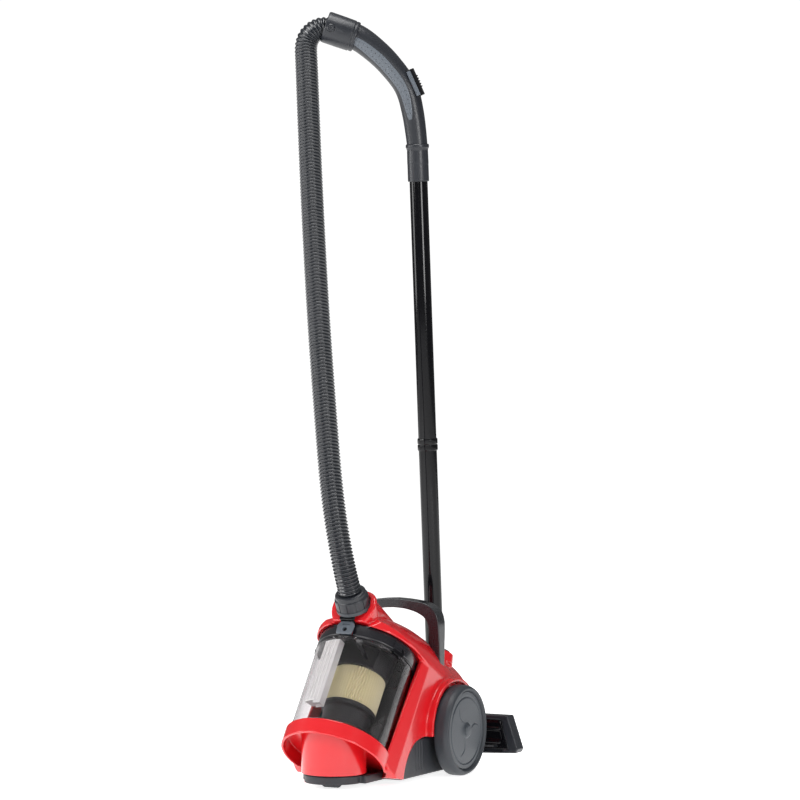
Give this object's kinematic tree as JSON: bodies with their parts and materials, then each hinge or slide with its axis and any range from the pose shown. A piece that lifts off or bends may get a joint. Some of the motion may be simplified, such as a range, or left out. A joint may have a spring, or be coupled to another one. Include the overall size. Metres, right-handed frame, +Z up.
{
  "type": "canister vacuum cleaner",
  "caption": "Red bagless canister vacuum with a clear front dust cup, two large wheels, a grey ribbed hose and a wand with its floor head parked upright behind the body.",
  "frame": {"origin": "on the floor, midway between the two big wheels, straight below their axle", "axes": "+Z up, -Y towards the front dust cup, +X towards the right flank as seen facing forwards from behind"},
  "size_m": [0.355, 0.4741, 1.3306],
  "materials": {
    "red_gloss": "high gloss",
    "black_gloss": "high gloss",
    "black_matte": "fine texture",
    "grey_satin": "satin",
    "wheel_grey": "fine texture",
    "tyre_rubber": "matte",
    "clear_smoke": "clear smoked plastic",
    "lid_black": "gloss",
    "latch_grey": "satin",
    "filter_cream": "pleated paper",
    "foam_grey": "foam",
    "hose_grey": "satin, corrugated",
    "steel": "plain",
    "bristle": "bristle",
    "copper": "wound wire"
  },
  "bodies": {
    "body": {"top_cover": "red_gloss", "front_hoop": "red_gloss", "cup_bay": "black_matte", "base_chassis": "black_matte", "axle_right": "wheel_grey", "axle_left": "wheel_grey", "caster_socket": "black_matte", "inlet_seal": "tyre_rubber", "park_bracket": "black_matte", "carry_handle": "black_gloss", "fan_case": "black_matte", "motor_can": "steel", "motor_cradle": "black_matte", "pre_filter": "foam_grey", "reel_frame": "black_matte", "rear_grille": "black_matte", "exhaust_filter": "foam_grey", "cord_outlet": "tyre_rubber", "hose": "hose_grey"},
    "right_wheel": {"wheel_right": "wheel_grey", "tyre_right": "tyre_rubber"},
    "left_wheel": {"wheel_left": "wheel_grey", "tyre_left": "tyre_rubber"},
    "caster": {"caster_fork": "black_matte"},
    "roller": {"caster_wheel": "tyre_rubber"},
    "cup": {"cup_lid": "lid_black", "pleated_filter": "filter_cream", "filter_holder": "black_matte", "cyclone_skirt": "black_matte", "inlet_duct": "clear_smoke"},
    "bin": {"clear_bin": "clear_smoke", "bin_floor": "clear_smoke"},
    "latch": {"cup_latch": "latch_grey"},
    "hose_cuff": {"lower_cuff": "grey_satin"},
    "wand": {"handle_tube": "grey_satin", "grip_right": "grey_satin", "grip_left": "grey_satin", "lower_wand": "black_gloss", "upper_wand": "black_gloss", "wand_ring": "black_gloss", "park_hook": "black_gloss", "neck": "black_gloss"},
    "top_cuff": {"upper_cuff": "grey_satin"},
    "release": {"cuff_button": "grey_satin"},
    "slider": {"suction_slider": "black_gloss"},
    "head": {"head_housing": "grey_satin", "head_pin": "steel", "sole_plate": "black_gloss"},
    "pedal": {"head_pedal": "grey_satin"},
    "brush": {"brush_strip": "bristle"},
    "power": {"power_button": "grey_satin"},
    "rewind": {"rewind_button": "grey_satin"},
    "motor": {"rotor": "copper"},
    "reel": {"cord_drum": "black_matte"}
  },
  "joints": [
    {"name": "right_wheel_spin", "type": "hinge", "parent": "body", "child": "right_wheel", "pos_m": [0.118, 0, 0.078], "axis": [1, 0, 0], "continuous": true},
    {"name": "left_wheel_spin", "type": "hinge", "parent": "body", "child": "left_wheel", "pos_m": [-0.118, 0, 0.078], "axis": [1, 0, 0], "continuous": true},
    {"name": "caster_swivel", "type": "hinge", "parent": "body", "child": "caster", "pos_m": [0, -0.24, 0.05], "axis": [0, 0, 1], "continuous": true},
    {"name": "caster_roll", "type": "hinge", "parent": "caster", "child": "roller", "pos_m": [0, -0.247, 0.017], "axis": [1, 0, 0], "continuous": true},
    {"name": "cup_slide", "type": "slide", "parent": "body", "child": "cup", "axis": [0, -0.809, 0.5878], "range_m": [0, 0.2]},
    {"name": "bin_twist", "type": "hinge", "parent": "cup", "child": "bin", "pos_m": [0, -0.227, 0.069], "axis": [0, 0.5878, 0.809], "range_deg": [0, 20]},
    {"name": "latch_press", "type": "slide", "parent": "cup", "child": "latch", "axis": [0, 0.809, -0.5878], "range_m": [0, 0.0018], "stiffness_N_per_m": 500, "springref_m": -0.002},
    {"name": "lower_cuff_swivel", "type": "hinge", "parent": "body", "child": "hose_cuff", "pos_m": [0, -0.17271, 0.30262], "axis": [0, -0.4695, 0.8829], "continuous": true},
    {"name": "wand_lift", "type": "slide", "parent": "body", "child": "wand", "axis": [0, -0.075, 0.9972], "range_m": [0, 0.07], "deforming": ["hose"]},
    {"name": "upper_cuff_swivel", "type": "hinge", "parent": "wand", "child": "top_cuff", "pos_m": [-0.13686, -0.02459, 1.30513], "axis": [-0.8243, -0.4639, 0.3245], "continuous": true},
    {"name": "cuff_button_press", "type": "slide", "parent": "top_cuff", "child": "release", "axis": [-0.4695, 0.8805, 0.0662], "range_m": [0, 0.0015], "stiffness_N_per_m": 500, "springref_m": -0.001},
    {"name": "suction_slide", "type": "slide", "parent": "wand", "child": "slider", "axis": [-0.3308, -0.2449, 0.9114], "range_m": [-0.007, 0.007]},
    {"name": "head_tilt", "type": "hinge", "parent": "wand", "child": "head", "pos_m": [0, 0.1402, 0.084], "axis": [1, 0, 0], "range_deg": [0, 75]},
    {"name": "pedal_rock", "type": "hinge", "parent": "head", "child": "pedal", "pos_m": [0, 0.1512, 0.032], "axis": [1, 0, 0], "range_deg": [0, 14]},
    {"name": "brush_drop", "type": "slide", "parent": "head", "child": "brush", "axis": [0, -1, 0], "range_m": [0, 0.003]},
    {"name": "power_press", "type": "slide", "parent": "body", "child": "power", "axis": [0, -0.4848, -0.8746], "range_m": [0, 0.003], "stiffness_N_per_m": 400, "springref_m": -0.003},
    {"name": "rewind_press", "type": "slide", "parent": "body", "child": "rewind", "axis": [0, -0.4848, -0.8746], "range_m": [0, 0.003], "stiffness_N_per_m": 400, "springref_m": -0.003},
    {"name": "rotor_spin", "type": "hinge", "parent": "body", "child": "motor", "pos_m": [0, 0, 0.062], "axis": [0, 1, 0], "continuous": true},
    {"name": "reel_spin", "type": "hinge", "parent": "body", "child": "reel", "pos_m": [0, 0.056, 0.142], "axis": [1, 0, 0], "continuous": true}
  ],
  "couplings": [
    {"joint": "brush_drop", "follows": "pedal_rock", "m_per_rad": 0.0115}
  ]
}
